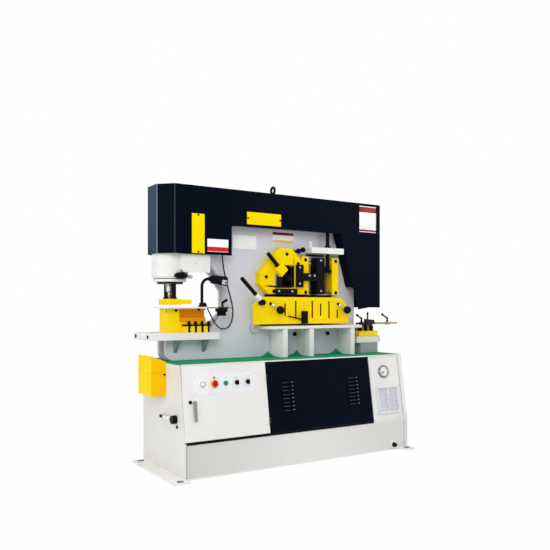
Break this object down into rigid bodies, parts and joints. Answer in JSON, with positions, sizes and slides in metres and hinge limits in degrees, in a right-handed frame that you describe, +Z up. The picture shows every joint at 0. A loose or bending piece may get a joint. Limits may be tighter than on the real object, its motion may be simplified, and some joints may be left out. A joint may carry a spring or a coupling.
{
  "type": "hydraulic ironworker",
  "caption": "Hydraulic ironworker on a cabinet base: punch with throat at the left, section and flat shears in the middle and a notcher at the right, under folded covers.",
  "frame": {"origin": "on the floor under the middle of the cabinet base", "axes": "+X along the front to the notcher, +Y to the back, +Z up"},
  "size_m": [2.12, 0.85, 1.933],
  "materials": {
    "white_paint": "satin paint",
    "grey_paint": "satin paint",
    "black_paint": "satin paint",
    "yellow_paint": "gloss paint",
    "olive_paint": "satin paint",
    "deck_rubber": "ribbed mat",
    "machined_steel": "machined",
    "dark_steel": "blackened",
    "chrome_steel": "polished",
    "cast_blue": "painted casting",
    "tank_grey": "painted",
    "zinc_plate": "zinc plated",
    "black_plastic": "moulded",
    "red_plastic": "moulded",
    "green_plastic": "moulded",
    "gauge_white": "moulded",
    "cable_rubber": "smooth"
  },
  "bodies": {
    "machine": {"base_plate": "white_paint", "cabinet_front": "white_paint", "cabinet_wrap": "white_paint", "deck_plate": "deck_rubber", "motor_panel": "black_paint", "tank_panel": "white_paint", "oil_gauge": "gauge_white", "vent_grille": "zinc_plate", "slug_box": "yellow_paint", "oil_tank": "tank_grey", "power_unit": "cast_blue", "electrical_plate": "zinc_plate", "front_cheek": "grey_paint", "rear_cheek": "grey_paint", "lifting_eye": "dark_steel", "left_cover": "black_paint", "middle_cover": "black_paint", "right_cover": "black_paint", "cover_plates": "yellow_paint", "punch_cylinder": "white_paint", "stripper": "yellow_paint", "stripper_posts": "dark_steel", "punch_guard": "white_paint", "punch_table": "white_paint", "die_block": "yellow_paint", "clamp_bolts": "dark_steel", "gauge_bar": "olive_paint", "lamp_stem": "black_plastic", "lamp_head": "black_plastic", "lamp_cable": "cable_rubber", "shear_table": "white_paint", "shear_guard": "yellow_paint", "guard_stop": "dark_steel", "bar_shear_plate": "yellow_paint", "angle_posts": "yellow_paint", "blade_clamp": "dark_steel", "hold_down_bar": "white_paint", "shear_cylinder": "white_paint", "notch_table": "white_paint", "notch_die": "yellow_paint", "notch_gauge": "dark_steel"},
    "punch_ram": {"punch_ram": "chrome_steel", "punch": "machined_steel"},
    "shear_slide": {"shear_slide": "dark_steel"},
    "door": {"control_door": "white_paint", "control_plate": "zinc_plate"},
    "estop_button": {"estop_button": "red_plastic"},
    "start_button": {"start_button": "green_plastic"},
    "selector_left": {"selector_left": "black_plastic"},
    "selector_right": {"selector_right": "black_plastic"},
    "door_handle": {"door_handle": "chrome_steel"},
    "isolator_handle": {"isolator_handle": "black_plastic"},
    "gauge_lever": {"gauge_lever": "black_plastic"},
    "guard_lever_left": {"guard_lever_left": "black_plastic"},
    "guard_lever_right": {"guard_lever_right": "black_plastic"},
    "hold_down_lever": {"hold_down_lever": "black_plastic"},
    "bar_clamp": {"bar_clamp": "dark_steel"},
    "hold_down_screw": {"hold_down_screw": "dark_steel"},
    "notch_lever_left": {"notch_lever_left": "black_plastic"},
    "notch_lever_right": {"notch_lever_right": "black_plastic"}
  },
  "joints": [
    {"name": "punch_stroke", "type": "slide", "parent": "machine", "child": "punch_ram", "axis": [0, 0, -1], "range_m": [0, 0.045]},
    {"name": "shear_stroke", "type": "slide", "parent": "machine", "child": "shear_slide", "axis": [0, 0, -1], "range_m": [0, 0.07]},
    {"name": "door_swing", "type": "hinge", "parent": "machine", "child": "door", "pos_m": [-0.2995, -0.32042, 0.4545], "axis": [0, 0.1537, 0.9881], "range_deg": [0, 100]},
    {"name": "estop_press", "type": "slide", "parent": "door", "child": "estop_button", "axis": [0, 0.9881, -0.1537], "range_m": [0, 0.005], "stiffness_N_per_m": 600, "springref_m": -0.005},
    {"name": "start_press", "type": "slide", "parent": "door", "child": "start_button", "axis": [0, 0.9881, -0.1537], "range_m": [0, 0.004], "stiffness_N_per_m": 500, "springref_m": -0.004},
    {"name": "selector_left_turn", "type": "hinge", "parent": "door", "child": "selector_left", "pos_m": [-0.524, -0.29644, 0.56643], "axis": [0, -0.9881, 0.1537], "range_deg": [-45, 45]},
    {"name": "selector_right_turn", "type": "hinge", "parent": "door", "child": "selector_right", "pos_m": [-0.444, -0.29644, 0.56643], "axis": [0, -0.9881, 0.1537], "range_deg": [-45, 45]},
    {"name": "handle_turn", "type": "hinge", "parent": "door", "child": "door_handle", "pos_m": [-0.828, -0.31308, 0.45943], "axis": [0, -0.9881, 0.1537], "range_deg": [0, 90]},
    {"name": "isolator_turn", "type": "hinge", "parent": "machine", "child": "isolator_handle", "pos_m": [-0.9, -0.201, 0.35], "axis": [-1, 0, 0], "range_deg": [0, 90]},
    {"name": "gauge_lever_turn", "type": "hinge", "parent": "machine", "child": "gauge_lever", "pos_m": [-0.481, -0.022, 1.0475], "axis": [0, 0, 1], "range_deg": [-90, 90]},
    {"name": "guard_lever_left_turn", "type": "hinge", "parent": "machine", "child": "guard_lever_left", "pos_m": [-0.123, -0.06, 1.07], "axis": [0, 1, 0], "range_deg": [-40, 40]},
    {"name": "guard_lever_right_turn", "type": "hinge", "parent": "machine", "child": "guard_lever_right", "pos_m": [0.471, -0.06, 1.07], "axis": [0, 1, 0], "range_deg": [-40, 40]},
    {"name": "hold_down_lever_turn", "type": "hinge", "parent": "machine", "child": "hold_down_lever", "pos_m": [-0.203, -0.06, 1.078], "axis": [0, 1, 0], "range_deg": [-30, 40]},
    {"name": "bar_clamp_screw", "type": "slide", "parent": "machine", "child": "bar_clamp", "axis": [0.7071, 0, -0.7071], "range_m": [-0.035, 0]},
    {"name": "hold_down_screw_move", "type": "slide", "parent": "machine", "child": "hold_down_screw", "axis": [0, 0, 1], "range_m": [0, 0.08]},
    {"name": "notch_lever_left_turn", "type": "hinge", "parent": "machine", "child": "notch_lever_left", "pos_m": [0.75, 0, 0.9305], "axis": [0, 0, 1], "range_deg": [-90, 90]},
    {"name": "notch_lever_right_turn", "type": "hinge", "parent": "machine", "child": "notch_lever_right", "pos_m": [1.016, 0, 0.9305], "axis": [0, 0, 1], "range_deg": [-90, 90]}
  ]
}
